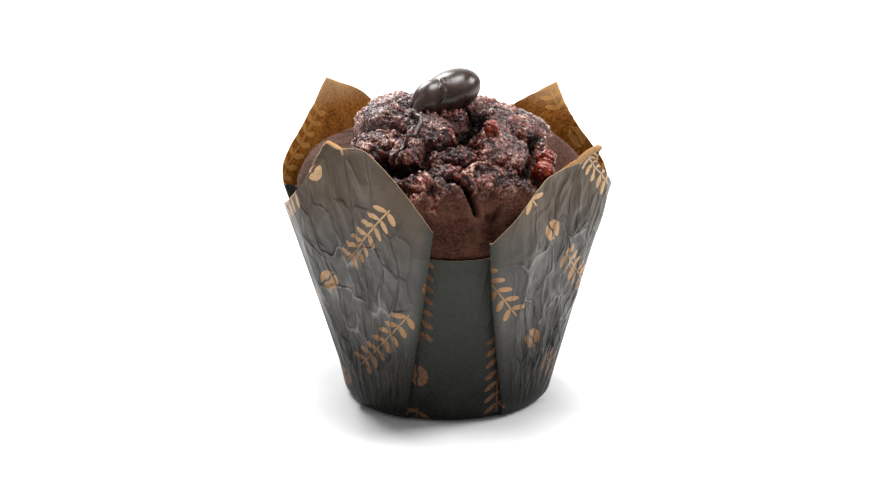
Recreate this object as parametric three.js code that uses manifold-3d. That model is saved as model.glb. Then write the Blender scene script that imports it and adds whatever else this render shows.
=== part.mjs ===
// A chocolate muffin in a tulip paper case, with a dollop of chocolate sauce on top.
// Millimetres, +Z up. The origin is the centre of the case's flat base, on the surface it stands on.
// Azimuths are measured from the front (-Y) towards the right (+X).
import * as THREE from "three";
import { mergeVertices } from "three/addons/utils/BufferGeometryUtils.js";
import Module from "manifold-3d";

const wasm = await Module();
wasm.setup();

const { degToRad, lerp, smoothstep, clamp } = THREE.MathUtils;

// Clear space between pieces that touch in the real thing.
const GAP = 0.3;
const TINY = 1e-6;

// The case is one square sheet, pressed round a former so that its corners stand up as four petals.
const SHEET_SIDE = 140;
const SHEET_THICKNESS = 0.3;
const BASE_RADIUS = 25.25;
const CORNER_RADIUS = 2.6;
const WALL_TILT = degToRad(11.8);
const CASE_TURN = degToRad(6.9);
const EIGHTH_TURN = Math.PI / 4;
// The outer crease of the pleat on each hand of a side, as an angle from the side's middle at the foot of
// the wall and at its top.
const CREASES = {
  left: [28.3, 28.2].map(degToRad),
  right: [24.7, 26.9].map(degToRad),
};
// The bend at each fold of a pleat, along the middle of the sheet.
const FOLD_RADIUS = 0.34;
// A petal's folds spring away from the wall as they rise.
const FLARE_FULL_AT = 81;
const FLARE_POWER = 1.6;
// A petal bends twice, level with the muffin's shoulder and near its tip: where each bend starts, and how
// long it is.
const PETAL_BENDS = [
  { start: 69, length: 14 },
  { start: 86, length: 9 },
];
const PETAL_TURNS_FROM = 60;
const PETAL_TURNS_OVER = 40;
// The petals, from the one at the front right towards the back. tilts is how far it leans out after each
// bend, turn draws its tip sideways, middle is its flare there as a share of its folds', and tip lengthens
// it. near is its edge towards the side before it: the flare of its fold, and how far its cut edge bows out
// and its corner rises.
const PETALS = [
  {
    tilts: [4, 42].map(degToRad), turn: degToRad(2.6), middle: -0.2, tip: 1,
    near: { flare: 3.4, bow: 2.7, corner: -2.2 }, far: { flare: 2.9, bow: -1, corner: 0.8 },
  },
  {
    tilts: [15, 48].map(degToRad), turn: degToRad(0.4), middle: -0.2, tip: 0.6,
    near: { flare: 4.6, bow: 0, corner: 0.5 }, far: { flare: 4.2, bow: 0, corner: 0 },
  },
  {
    tilts: [7, 20].map(degToRad), turn: degToRad(-5.6), middle: -0.05, tip: 0,
    near: { flare: 4.1, bow: 5.4, corner: 0 }, far: { flare: 3, bow: 1.4, corner: -0.9 },
  },
  {
    tilts: [11.5, -2].map(degToRad), turn: degToRad(-3.6), middle: -0.15, tip: -0.5,
    near: { flare: 3.6, bow: -1.5, corner: -0.8 }, far: { flare: 5, bow: 8.4, corner: 1.9 },
  },
];
// Steps across half a side of the case, and rows up its wall.
const STEPS = { panel: 4, fold: 3, flat: 3, petal: 4 };
const HALF_SIDE_STEPS = STEPS.panel + 2 * STEPS.fold + STEPS.flat + STEPS.petal;
const WALL_ROWS = 9;

// The muffin's profile, as radius and height, from the middle of its base to the top of its dome.
const MUFFIN_BASE_HEIGHT = SHEET_THICKNESS + GAP;
const MUFFIN_CLEARANCE = 0.75;
const MUFFIN_LIP_HEIGHT = 45;
const DOME = [
  [34.9, 50],
  [35.4, 53.2],
  [34.2, 57],
  [31.3, 61],
  [27.3, 64.8],
  [22.5, 68.2],
  [17.5, 70.9],
  [11.5, 73],
  [5.5, 74.2],
];
const DOME_TOP = 74.5;
const MUFFIN_STEPS_ROUND = 56;
const DOME_STEPS = 18;

// Cracks in the crust, each a line seen from above, with its half width and depth.
const CRACKS = [
  { line: [[7.5, -4], [9.5, -9], [8.5, -15], [4.5, -22]], half: 2.8, depth: 3.0 },
  { line: [[-16, -21], [-12, -27.5], [-3.5, -28], [9, -26.5], [15, -26.5]], half: 1.7, depth: 2.2 },
  { line: [[15, -26.5], [18.5, -21.5], [22.5, -14], [26, -6], [24, 6]], half: 1.8, depth: 2.4 },
  { line: [[0, -32.4], [4.3, -31.8], [5.5, -34.1], [7.3, -35.2]], half: 1.3, depth: 1.8 },
  { line: [[-24, 8], [-25, -4], [-20, -14], [-16, -21]], half: 1.6, depth: 1.8 },
  { line: [[24, 6], [15, 18], [2, 22], [-12, 20], [-24, 8]], half: 1.8, depth: 2.0 },
];
const CRACKED_ABOVE = 50;

// Baked-in chunks that show in the cracks: place seen from above, radius, and height above the crust.
const CHUNKS = {
  chunk_upper_right: { at: [24, -14.6], radius: 2.4, proud: 0.9 },
  chunk_lower_right: { at: [23.1, -20.6], radius: 2.5, proud: 0.9 },
  chunk_centre: { at: [10.8, -17.2], radius: 1.8, proud: 0.7 },
};

// The dollop's lobes and the bridge between them, and the thread of sauce that runs down from it.
const DOLLOP_LOBES = [
  { at: [3, -1.5, 77.2], size: [5.7, 5.6, 4.9], turn: 14, lean: -20 },
  { at: [-3.8, -4.6, 76.3], size: [5.1, 4.5, 4.4], turn: 30, lean: -24 },
  { at: [-0.4, -2, 77.6], size: [5.4, 4.4, 4.3], turn: 14, lean: -24 },
];
const THREAD = [
  [-7.2, -9.9],
  [-7.6, -11.6],
  [-6.4, -14],
  [-6.2, -16.2],
  [-7.6, -18.8],
  [-10.7, -23.6],
];
const THREAD_RADIUS = 0.55;
const THREAD_SIDES = 6;
const THREAD_STEPS = 22;

// ---- Solids ----

// A closed three.js geometry as a solid that can be joined and cut.
function solidOf(geometry) {
  const bare = geometry.clone();
  bare.deleteAttribute("normal");
  bare.deleteAttribute("uv");
  const merged = mergeVertices(bare, 1e-4);
  return new wasm.Manifold(
    new wasm.Mesh({
      numProp: 3,
      vertProperties: new Float32Array(merged.attributes.position.array),
      triVerts: new Uint32Array(merged.index.array),
    }),
  );
}

// A solid back as a three.js geometry.
function geometryOf(solid) {
  const mesh = solid.getMesh();
  const places = new Float32Array(mesh.numVert * 3);
  for (let i = 0; i < mesh.numVert; i += 1) {
    const from = i * mesh.numProp;
    places.set(mesh.vertProperties.subarray(from, from + 3), i * 3);
  }
  const geometry = new THREE.BufferGeometry();
  geometry.setAttribute("position", new THREE.BufferAttribute(places, 3));
  geometry.setIndex(new THREE.BufferAttribute(new Uint32Array(mesh.triVerts), 1));
  geometry.computeVertexNormals();
  return geometry;
}

// Moves every vertex of a geometry to where place(vertex) says.
function reshape(geometry, place) {
  const position = geometry.attributes.position;
  const vertex = new THREE.Vector3();
  for (let i = 0; i < position.count; i += 1) {
    vertex.fromBufferAttribute(position, i);
    const moved = place(vertex);
    position.setXYZ(i, moved.x, moved.y, moved.z);
  }
  return geometry;
}

const around = (radius, azimuth, height) =>
  new THREE.Vector3(radius * Math.sin(azimuth), -radius * Math.cos(azimuth), height);

// ---- Paper case ----

// The former that the sheet is pressed round, reach being the way along the sheet from its centre.
// It is flat, then turns up in a round corner into a wall that leans out, and bends again at a petal.
const CORNER_TURN = Math.PI / 2 - WALL_TILT;
const FLAT_RADIUS = BASE_RADIUS - CORNER_RADIUS * Math.tan(CORNER_TURN / 2);
const WALL_STARTS = FLAT_RADIUS + CORNER_RADIUS * CORNER_TURN;

function formerAt(reach, tilts = [WALL_TILT, WALL_TILT]) {
  const turned = clamp((reach - FLAT_RADIUS) / CORNER_RADIUS, 0, CORNER_TURN);
  const up = Math.max(0, reach - WALL_STARTS);
  const point = {
    radius: Math.min(reach, FLAT_RADIUS) + CORNER_RADIUS * Math.sin(turned) + up * Math.sin(WALL_TILT),
    height: CORNER_RADIUS * (1 - Math.cos(turned)) + up * Math.cos(WALL_TILT),
  };
  let run = Math.cos(turned);
  let climb = Math.sin(turned);
  let before = WALL_TILT;
  PETAL_BENDS.forEach(({ start, length }, index) => {
    const after = tilts[index];
    const past = Math.max(0, reach - start);
    const bending = Math.min(past, length);
    const bent = past - bending + bending ** 2 / (2 * length);
    point.radius += bent * (Math.sin(after) - Math.sin(before));
    point.height += bent * (Math.cos(after) - Math.cos(before));
    run += (bending / length) * (Math.sin(after) - Math.sin(before));
    climb += (bending / length) * (Math.cos(after) - Math.cos(before));
    before = after;
  });
  return { ...point, slope: Math.atan2(climb, run) };
}

// One half of a side, towards the pleat on one hand: -1 for the left and 1 for the right. It holds the petal
// beyond the pleat, that petal's edge, and the pleat's crease.
function halfSide(side, hand) {
  const petal = PETALS[(side + (hand > 0 ? 0 : 3)) % PETALS.length];
  const edge = hand > 0 ? petal.near : petal.far;
  const crease = hand > 0 ? CREASES.right : CREASES.left;
  return { side, hand, petal, crease, ...edge };
}

// How a pleat takes up the sheet's spare length at a reach. The sheet turns back by up to half a turn and
// forward again, with a flat stretch between its two folds once they are fully turned. starts and ends
// are lengths along the sheet from the side's middle, and the other folds' places are azimuths from it.
function pleatAt(reach, half) {
  const { radius } = formerAt(reach);
  const spare = (reach - radius) * EIGHTH_TURN;
  let turn = 0;
  for (let i = 0; i < 40; i += 1) {
    turn = Math.min(Math.PI, Math.sin(turn) + spare / (2 * FOLD_RADIUS));
  }
  const rising = clamp((reach - WALL_STARTS) / (FLARE_FULL_AT - WALL_STARTS), 0, 1);
  const flare = half.flare * rising ** FLARE_POWER;
  const lift = FOLD_RADIUS * (1 - Math.cos(turn));
  const forward = FOLD_RADIUS * Math.sin(turn);
  const folded = 2 * FOLD_RADIUS * turn;
  const ends = lerp(...half.crease, rising) * reach + folded / 4;
  const petalRadius = radius + flare / 2;
  const petalStarts = EIGHTH_TURN - (EIGHTH_TURN * reach - ends) / petalRadius;
  const outerFold = petalStarts - forward / petalRadius;
  const middleRadius = radius + lift + flare / 2;
  const span = (ends - folded + forward) / radius - outerFold;
  const flat = Math.max(0, (span * middleRadius * radius) / (radius + middleRadius));
  return { turn, flare, lift, forward, flat, starts: ends - folded - flat, ends, petalStarts, outerFold };
}

// Where a step across half a side lies: how far along the sheet it is from the side's middle, its azimuth
// from there, how far it stands off the former, and how far the sheet is turned back.
function placeAcross(step, half, reach) {
  const pleat = pleatAt(reach, half);
  const { turn, flare, lift, forward, flat, starts, ends, petalStarts, outerFold } = pleat;
  const { radius } = formerAt(reach);
  const foldEnds = STEPS.panel + STEPS.fold;
  const flatEnds = foldEnds + STEPS.flat;
  const petalBegins = flatEnds + STEPS.fold;
  if (step <= STEPS.panel) {
    const along = (starts * step) / STEPS.panel;
    return { along, azimuth: along / radius, off: 0, turned: 0 };
  }
  if (step <= foldEnds) {
    const turned = (turn * (step - STEPS.panel)) / STEPS.fold;
    return {
      along: starts + FOLD_RADIUS * turned,
      azimuth: (starts + FOLD_RADIUS * Math.sin(turned)) / radius,
      off: FOLD_RADIUS * (1 - Math.cos(turned)),
      turned,
    };
  }
  if (step <= flatEnds) {
    const share = (step - foldEnds) / STEPS.flat;
    return {
      along: starts + FOLD_RADIUS * turn + flat * share,
      azimuth: lerp((starts + forward) / radius, outerFold, share),
      off: lift + flare * share,
      turned: turn,
    };
  }
  if (step <= petalBegins) {
    const turned = (turn * (petalBegins - step)) / STEPS.fold;
    return {
      along: ends - FOLD_RADIUS * turned,
      azimuth: petalStarts - (FOLD_RADIUS * Math.sin(turned)) / radius,
      off: 2 * lift - FOLD_RADIUS * (1 - Math.cos(turned)) + flare,
      turned,
    };
  }
  const share = (step - petalBegins) / STEPS.petal;
  return {
    along: lerp(ends, EIGHTH_TURN * reach, share),
    azimuth: lerp(petalStarts, EIGHTH_TURN, share),
    off: 2 * lift + flare * lerp(1, half.petal.middle, smoothstep(share, 0, 1)),
    turned: 0,
  };
}

// How far along the sheet its cut edge is, for a step across half a side.
function cutEdge(step, half) {
  const share = clamp((step - HALF_SIDE_STEPS + STEPS.petal) / STEPS.petal, 0, 1);
  const inPleat = smoothstep(step, STEPS.panel, HALF_SIDE_STEPS - STEPS.petal);
  const bowed = half.bow * Math.sin(Math.PI * share);
  const extra = bowed + half.corner * inPleat * (1 - share) ** 2 + half.petal.tip * share ** 8;
  let edge = SHEET_SIDE / 2;
  for (let i = 0; i < 12; i += 1) {
    edge = SHEET_SIDE / 2 / Math.cos(placeAcross(step, half, edge).along / edge) + extra;
  }
  return edge;
}

// A point of the folded sheet. above is how far it lies from the sheet's middle towards its outside.
// column counts the steps round the case. rise runs from -1 at the sheet's centre to 0 where it leaves
// the flat base, 1 at the foot of the wall and 2 at the cut edge.
function sheetPoint(column, rise, above) {
  const side = Math.floor(column / (2 * HALF_SIDE_STEPS));
  const within = column - (2 * side + 1) * HALF_SIDE_STEPS;
  const step = Math.abs(within);
  const hand = within > 0 ? 1 : -1;
  const half = halfSide(side, hand);
  let reach = FLAT_RADIUS * (1 + rise);
  if (rise > 0) {
    reach = lerp(FLAT_RADIUS, WALL_STARTS, rise);
  }
  if (rise > 1) {
    reach = lerp(WALL_STARTS, cutEdge(step, half), rise - 1);
  }
  const { azimuth, off, turned } = placeAcross(step, half, Math.max(reach, TINY));
  const nearness = Math.cos(2 * (EIGHTH_TURN - azimuth)) ** 2;
  const tilts = half.petal.tilts.map((tilt) => lerp(WALL_TILT, tilt, nearness));
  const { radius, height, slope } = formerAt(reach, tilts);
  const towardsTip = Math.max(0, (reach - PETAL_TURNS_FROM) / PETAL_TURNS_OVER);
  const drawn = half.petal.turn * nearness * towardsTip;
  const out = off + above * Math.cos(turned);
  const faces = CASE_TURN + 2 * EIGHTH_TURN * side + hand * azimuth + drawn;
  const level = height - out * Math.cos(slope) + SHEET_THICKNESS / 2;
  const spot = around(radius + out * Math.sin(slope), faces, level);
  const sideways = around(1, faces + Math.PI / 2, 0);
  return spot.addScaledVector(sideways, -hand * above * Math.sin(turned));
}

// The sheet as a closed shell. The lathe's profile runs out along the outside and back along the inside,
// so each of its points only says how far out on the sheet it is, and on which face.
function paperCase() {
  const rises = [0, 0.5, 1];
  for (let row = 1; row <= WALL_ROWS; row += 1) {
    rises.push(1 + row / WALL_ROWS);
  }
  const columns = 8 * HALF_SIDE_STEPS;
  const profile = [
    new THREE.Vector2(0, -1),
    ...rises.map((rise) => new THREE.Vector2(1 + rise, -1)),
    ...rises.map((rise) => new THREE.Vector2(1 + rise, 1)).reverse(),
    new THREE.Vector2(0, 1),
  ];
  return reshape(new THREE.LatheGeometry(profile, columns), (vertex) => {
    const turned = Math.atan2(vertex.x, vertex.z) / (2 * Math.PI);
    const column = (Math.round(turned * columns) + columns) % columns;
    const rise = Math.hypot(vertex.x, vertex.z) - 1;
    return sheetPoint(column, rise, (-vertex.y * SHEET_THICKNESS) / 2);
  });
}

// ---- Muffin ----

function muffinProfile() {
  const foot = BASE_RADIUS - MUFFIN_CLEARANCE;
  const lip = foot + MUFFIN_LIP_HEIGHT * Math.tan(WALL_TILT);
  const curve = new THREE.SplineCurve([
    new THREE.Vector2(lip, MUFFIN_LIP_HEIGHT),
    ...DOME.map(([radius, height]) => new THREE.Vector2(radius, height)),
    new THREE.Vector2(0, DOME_TOP),
  ]);
  return [
    new THREE.Vector2(0, MUFFIN_BASE_HEIGHT),
    new THREE.Vector2(foot - 0.8, MUFFIN_BASE_HEIGHT),
    new THREE.Vector2(foot, MUFFIN_BASE_HEIGHT + 1),
    new THREE.Vector2(lerp(foot, lip, 0.5), lerp(MUFFIN_BASE_HEIGHT, MUFFIN_LIP_HEIGHT, 0.5)),
    ...curve.getPoints(DOME_STEPS),
  ];
}

// How far a point seen from above lies from a line of points.
function distanceTo(line, x, y) {
  const point = new THREE.Vector3(x, y, 0);
  const nearest = new THREE.Vector3();
  let least = Infinity;
  for (let i = 1; i < line.length; i += 1) {
    const from = new THREE.Vector3(...line[i - 1], 0);
    const to = new THREE.Vector3(...line[i], 0);
    new THREE.Line3(from, to).closestPointToPoint(point, true, nearest);
    least = Math.min(least, nearest.distanceTo(point));
  }
  return least;
}

// How far the crust rises above the smooth dome: low lumps, less the cracks.
function crustRise(x, y, z) {
  const lumps = 0.45 * Math.sin(0.42 * x + 1) * Math.cos(0.38 * y) + 0.3 * Math.sin(0.8 * y + 0.6 * x);
  const cuts = CRACKS.map(({ line, half, depth }) => {
    const off = distanceTo(line, x, y) / half;
    return depth * Math.exp(-off * off);
  });
  return (lumps - Math.max(...cuts)) * smoothstep(z, CRACKED_ABOVE, CRACKED_ABOVE + 10);
}

function muffinSolid() {
  const lathe = new THREE.LatheGeometry(muffinProfile(), MUFFIN_STEPS_ROUND);
  lathe.rotateX(Math.PI / 2);
  reshape(lathe, (vertex) => {
    const rise = crustRise(vertex.x, vertex.y, vertex.z);
    const middle = new THREE.Vector3(0, 0, MUFFIN_LIP_HEIGHT - 15);
    const out = vertex.clone().sub(middle).normalize();
    return vertex.clone().addScaledVector(out, rise);
  });
  return solidOf(lathe);
}

// The height of a solid's top surface over a point seen from above.
function surfaceFinder(solid) {
  const target = new THREE.Mesh(geometryOf(solid), new THREE.MeshBasicMaterial());
  target.updateMatrixWorld(true);
  return (x, y) => {
    const ray = new THREE.Raycaster(new THREE.Vector3(x, y, 200), new THREE.Vector3(0, 0, -1));
    return ray.intersectObject(target)[0].point.z;
  };
}

// ---- Chunks ----

function chunkSolid({ at, radius, proud }, height, grown) {
  const lump = new THREE.IcosahedronGeometry(1, 2);
  reshape(lump, (vertex) => {
    const boxy = 1 + 0.12 * Math.sin(5 * vertex.x + at[0]) * Math.sin(4 * vertex.y + 3 * vertex.z);
    return vertex.clone().multiplyScalar(boxy * radius + grown);
  });
  lump.scale(1, 0.9, 0.95).translate(at[0], at[1], height + proud);
  return solidOf(lump);
}

// ---- Dollop ----

function lobeSolid({ at, size, turn, lean }) {
  const lobe = new THREE.SphereGeometry(1, 20, 12);
  lobe.scale(...size).rotateY(degToRad(lean)).rotateZ(degToRad(turn)).translate(...at);
  return solidOf(lobe);
}

function threadSolid(heightAt) {
  const lift = GAP + THREAD_RADIUS;
  const start = new THREE.Vector3(-5, -6.5, DOME_TOP + 1);
  const run = THREAD.map(([x, y]) => new THREE.Vector3(x, y, heightAt(x, y) + lift));
  const section = new THREE.Shape();
  section.absarc(0, 0, THREAD_RADIUS, 0, 2 * Math.PI);
  const tube = new THREE.ExtrudeGeometry(section, {
    steps: THREAD_STEPS,
    curveSegments: THREAD_SIDES,
    extrudePath: new THREE.CatmullRomCurve3([start, ...run]),
    bevelEnabled: false,
  });
  return solidOf(tube);
}

function dollopSolid(muffin) {
  const pieces = [...DOLLOP_LOBES.map(lobeSolid), threadSolid(surfaceFinder(muffin))];
  const sauce = pieces.reduce((joined, piece) => joined.add(piece));
  const raised = muffin.translate([0, 0, GAP]);
  const parts = sauce.subtract(raised).decompose();
  return parts.sort((a, b) => b.volume() - a.volume())[0];
}

// ---- Assembly ----

const finish = (color, roughness, metalness = 0) =>
  new THREE.MeshStandardMaterial({ color, roughness, metalness });

const MATERIALS = {
  crumb: finish("#4a3028", 0.7),
  paper: finish("#45443f", 0.55),
  sauce: finish("#2e1f1a", 0.15),
  chunk: finish("#7a3222", 0.35),
};

function node(name, solid, material) {
  const mesh = new THREE.Mesh(geometryOf(solid), material);
  mesh.name = name;
  return mesh;
}

const object = new THREE.Group();

const uncut = muffinSolid();
const crustHeight = surfaceFinder(uncut);
const muffin = Object.values(CHUNKS).reduce(
  (body, chunk) => body.subtract(chunkSolid(chunk, crustHeight(...chunk.at), GAP)),
  uncut,
);

// Where two chunks lie against each other, the later one gives way to the earlier.
let placed = muffin;
for (const [name, chunk] of Object.entries(CHUNKS)) {
  const height = crustHeight(...chunk.at);
  object.add(node(name, chunkSolid(chunk, height, 0).subtract(placed), MATERIALS.chunk));
  placed = placed.add(chunkSolid(chunk, height, GAP));
}

object.add(node("muffin", muffin, MATERIALS.crumb));
object.add(node("paper_case", solidOf(paperCase()), MATERIALS.paper));
object.add(node("chocolate_dollop", dollopSolid(uncut), MATERIALS.sauce));

export default object;
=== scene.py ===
import math
from bisect import bisect_right
from functools import partial
from itertools import accumulate

import bmesh
import bpy
from bpy.props import FloatProperty, FloatVectorProperty, PointerProperty
from mathutils import Matrix, Vector, noise
from mathutils.bvhtree import BVHTree


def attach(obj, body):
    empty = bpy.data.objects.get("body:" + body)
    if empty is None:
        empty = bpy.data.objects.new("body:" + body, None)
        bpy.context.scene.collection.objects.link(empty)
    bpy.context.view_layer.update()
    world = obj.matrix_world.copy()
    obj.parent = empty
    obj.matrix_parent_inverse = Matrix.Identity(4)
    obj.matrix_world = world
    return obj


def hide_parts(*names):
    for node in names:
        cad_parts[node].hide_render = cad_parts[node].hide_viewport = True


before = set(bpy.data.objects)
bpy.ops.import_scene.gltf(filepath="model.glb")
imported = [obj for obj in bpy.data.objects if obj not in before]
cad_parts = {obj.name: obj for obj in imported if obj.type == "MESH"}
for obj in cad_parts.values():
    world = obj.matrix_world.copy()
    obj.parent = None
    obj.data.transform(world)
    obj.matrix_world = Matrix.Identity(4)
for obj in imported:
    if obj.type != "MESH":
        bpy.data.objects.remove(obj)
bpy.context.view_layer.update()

bl_info = {
    "name": "Muffin in a Tulip Case",
    "version": (1, 0, 0),
    "blender": (4, 5, 0),
    "location": "View3D > Sidebar > Muffin",
    "description": "Builds a chocolate muffin in a folded paper case, with a dollop of sauce",
    "category": "Add Mesh",
}

MM = 0.001
EIGHTH_TURN = math.pi / 4


# ---- Small helpers ----


def clamp(value, low=0.0, high=1.0):
    return max(low, min(high, value))


def lerp(a, b, share):
    return a + (b - a) * share


def smooth(value, low, high):
    """0 below low, 1 above high, and a smooth rise between."""
    share = clamp((value - low) / (high - low))
    return share * share * (3 - 2 * share)


def srgb(code):
    """A hex colour as linear light."""
    parts = [int(code[i : i + 2], 16) / 255 for i in (1, 3, 5)]
    return tuple(p / 12.92 if p <= 0.04045 else ((p + 0.055) / 1.055) ** 2.4 for p in parts)


def around(radius, azimuth, height):
    """A point at an azimuth measured from the front (-Y) towards the right (+X)."""
    return Vector((radius * math.sin(azimuth), -radius * math.cos(azimuth), height))


def distance_to_line(line, point):
    """How far a point is from a line of points, seen from above, and where along the line it is."""
    least, where, travelled = 1e9, 0.0, 0.0
    for start, end in zip(line, line[1:]):
        a, b = Vector(start[:2]), Vector(end[:2])
        run = b - a
        share = clamp((point - a).dot(run) / run.length_squared)
        off = (a + run * share - point).length
        if off < least:
            least, where = off, travelled + run.length * share
        travelled += run.length
    return least, where / travelled


def new_object(name, mesh_builder, materials):
    """Turns a bmesh in millimetres into an object in metres at the origin, smooth all over."""
    mesh_builder.transform(Matrix.Scale(MM, 4))
    mesh = bpy.data.meshes.new(name)
    mesh_builder.to_mesh(mesh)
    mesh_builder.free()
    mesh.shade_smooth()
    for material in materials:
        mesh.materials.append(material)
    piece = bpy.data.objects.new(name, mesh)
    bpy.context.scene.collection.objects.link(piece)
    return piece


# ---- Materials ----

# The setting that each kind of node takes after a dot in its name.
MODES = {
    "Math": "operation", "VectorMath": "operation", "Mix": "data_type", "MapRange": "interpolation_type",
    "TexVoronoi": "feature",
}


def light_of(tone):
    """A hex colour, a grey level or three linear numbers, as the four numbers of a colour socket."""
    if isinstance(tone, str):
        tone = srgb(tone)
    elif isinstance(tone, (int, float)):
        tone = (tone, tone, tone)
    return (*tone, 1.0)


def add_node(tree, kind, inputs=(), stops=(), **settings):
    """Adds a node of a kind, whose mode may follow a dot, with its settings and links.

    inputs go by name or number, or in the order of those in use. Each is a value, a socket, or a node whose
    first output in use is taken. stops are a colour ramp's."""
    kind, _, mode = kind.partition(".")
    node = tree.nodes.new("ShaderNode" + kind)
    if mode:
        settings[MODES[kind]] = mode
    for key, value in settings.items():
        setattr(node, key, value)
    if isinstance(inputs, dict):
        pairs = [(node.inputs[key], given) for key, given in inputs.items()]
    else:
        pairs = zip([socket for socket in node.inputs if socket.enabled], inputs)
    for socket, given in pairs:
        if isinstance(given, bpy.types.Node):
            given = next(output for output in given.outputs if output.enabled)
        if isinstance(given, bpy.types.NodeSocket):
            tree.links.new(given, socket)
        else:
            socket.default_value = light_of(given) if socket.type == "RGBA" else given
    if stops:
        elements = node.color_ramp.elements
        while len(elements) < len(stops):
            elements.new(0.5)
        for element, (place, tone) in zip(elements, stops):
            element.position, element.color = place, light_of(tone)
    return node


def new_material(surface, options=None):
    """A material named after its surface function, which adds nodes and returns the shader's inputs."""
    material = bpy.data.materials.new(surface.__name__)
    material.use_nodes = True
    material.node_tree.nodes.clear()
    add = partial(add_node, material.node_tree)
    shader = add("BsdfPrincipled", surface(add, options))
    add("OutputMaterial", [shader])
    return material


def tinted(add, base, tint, source, stops):
    """A colour with a tint laid over it, as strongly as a ramp over the source says."""
    share = add("ValToRGB", [source], stops=stops)
    return add("Mix.RGBA", [share, base, tint])


# ---- Paper case: the fold of one square sheet ----

SHEET_SIDE = 140.0
BASE_RADIUS = 25.25
CORNER_RADIUS = 2.6
WALL_TILT = math.radians(11.8)
CASE_TURN = math.radians(6.9)
# A pleat's outer crease, as an angle from the side's middle at the foot of the wall and at its top.
CREASE_LEFT = (math.radians(28.3), math.radians(28.2))
CREASE_RIGHT = (math.radians(24.7), math.radians(26.9))
FOLD_RADIUS = 0.34
FLARE_FULL_AT = 81.0
FLARE_POWER = 1.6
# A petal bends twice: level with the muffin's shoulder, and near its tip.
BENDS = ((69.0, 14.0), (86.0, 9.0))
PETAL_TURNS_FROM = 60.0
PETAL_TURNS_OVER = 40.0
# The cut edge rolls outwards round this radius, near a petal's tip.
LIP_RADIUS = 1.7
MID_SHEET = 0.15
# Millimetres to a unit of the sheet's UV.
UV_UNIT = 100


class Petal:
    """How one petal stands: tilt and curl of its two bends, sideways turn of its tip, and its edges.

    An edge is (flare of its fold, bow of its cut edge, rise of its corner), in millimetres, and lip is how
    much of the tip's edge is rolled outwards."""

    def __init__(self, tilt, curl, turn, middle, tip, near, far, lip):
        self.tilts = (WALL_TILT, math.radians(tilt), math.radians(curl))
        self.turn, self.middle, self.tip, self.lip = math.radians(turn), middle, tip, lip
        self.edges = {1: near, -1: far}


# From the petal at the front right towards the back. near is its edge towards the side before it.
PETALS = (
    Petal(4.0, 42.0, 2.6, -0.2, 1.6, (3.4, 2.7, -2.2), (2.8, -1.0, 0.8), 2.6),
    Petal(15.0, 48.0, 0.4, -0.2, 0.6, (4.6, 0.0, 0.5), (4.2, 0.0, 0.0), 0.8),
    Petal(7.0, 20.0, -5.6, -0.05, 0.7, (4.1, 6.4, 0.0), (3.0, 1.4, -0.9), 0.8),
    Petal(11.5, -2.0, -3.6, -0.15, 1.2, (3.6, -1.5, -0.8), (5.0, 8.4, 1.9), 3.4),
)

PANEL_STEPS = 8
FOLD_STEPS = 3
FLAT_STEPS = 3
PETAL_STEPS = 40
HALF_SIDE_STEPS = PANEL_STEPS + 2 * FOLD_STEPS + FLAT_STEPS + PETAL_STEPS
BASE_ROWS = 5
CORNER_ROWS = 4
WALL_ROWS = 82

CORNER_TURN = math.pi / 2 - WALL_TILT
FLAT_RADIUS = BASE_RADIUS - CORNER_RADIUS * math.tan(CORNER_TURN / 2)
WALL_STARTS = FLAT_RADIUS + CORNER_RADIUS * CORNER_TURN


def former_at(reach, tilts=(WALL_TILT,) * 3):
    """The radius, height and slope of the shape the sheet is pressed round, this reach from its centre."""
    turned = clamp((reach - FLAT_RADIUS) / CORNER_RADIUS, 0, CORNER_TURN)
    up = max(0, reach - WALL_STARTS)
    radius = min(reach, FLAT_RADIUS) + CORNER_RADIUS * math.sin(turned) + up * math.sin(WALL_TILT)
    height = CORNER_RADIUS * (1 - math.cos(turned)) + up * math.cos(WALL_TILT)
    run, climb = math.cos(turned), math.sin(turned)
    for (start, length), before, after in zip(BENDS, tilts, tilts[1:]):
        past = max(0, reach - start)
        bending = min(past, length)
        bent = past - bending + bending**2 / (2 * length)
        radius += bent * (math.sin(after) - math.sin(before))
        height += bent * (math.cos(after) - math.cos(before))
        run += bending / length * (math.sin(after) - math.sin(before))
        climb += bending / length * (math.cos(after) - math.cos(before))
    return radius, height, math.atan2(climb, run)


def petal_of(side, hand):
    """The petal on the right (hand 1) or left (hand -1) of a side."""
    return PETALS[(side + (0 if hand > 0 else 3)) % 4]


def across_petal(step):
    """Where a step lies on its half petal: 0 at the pleat, 1 at the petal's middle line."""
    return (step - HALF_SIDE_STEPS + PETAL_STEPS) / PETAL_STEPS


def pleat_at(reach, side, hand):
    """How a pleat takes up the sheet's spare length: its folds' turn, rise and places."""
    radius = former_at(reach)[0]
    spare = (reach - radius) * EIGHTH_TURN
    turn = math.pi
    if spare < 2 * math.pi * FOLD_RADIUS:
        turn = 0.0
        for _ in range(40):
            turn = min(math.pi, math.sin(turn) + spare / (2 * FOLD_RADIUS))
    rising = clamp((reach - WALL_STARTS) / (FLARE_FULL_AT - WALL_STARTS))
    flare = petal_of(side, hand).edges[hand][0] * rising**FLARE_POWER
    lift = FOLD_RADIUS * (1 - math.cos(turn))
    forward = FOLD_RADIUS * math.sin(turn)
    folded = 2 * FOLD_RADIUS * turn
    crease = lerp(*(CREASE_LEFT if hand < 0 else CREASE_RIGHT), rising)
    ends = crease * reach + folded / 4
    petal_radius = radius + flare / 2
    petal_starts = EIGHTH_TURN - (EIGHTH_TURN * reach - ends) / petal_radius
    outer_fold = petal_starts - forward / petal_radius
    middle_radius = radius + lift + flare / 2
    span = (ends - folded + forward) / radius - outer_fold
    flat = max(0, span * middle_radius * radius / (radius + middle_radius))
    return turn, flare, lift, forward, flat, ends - folded - flat, ends, petal_starts, outer_fold


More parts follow.
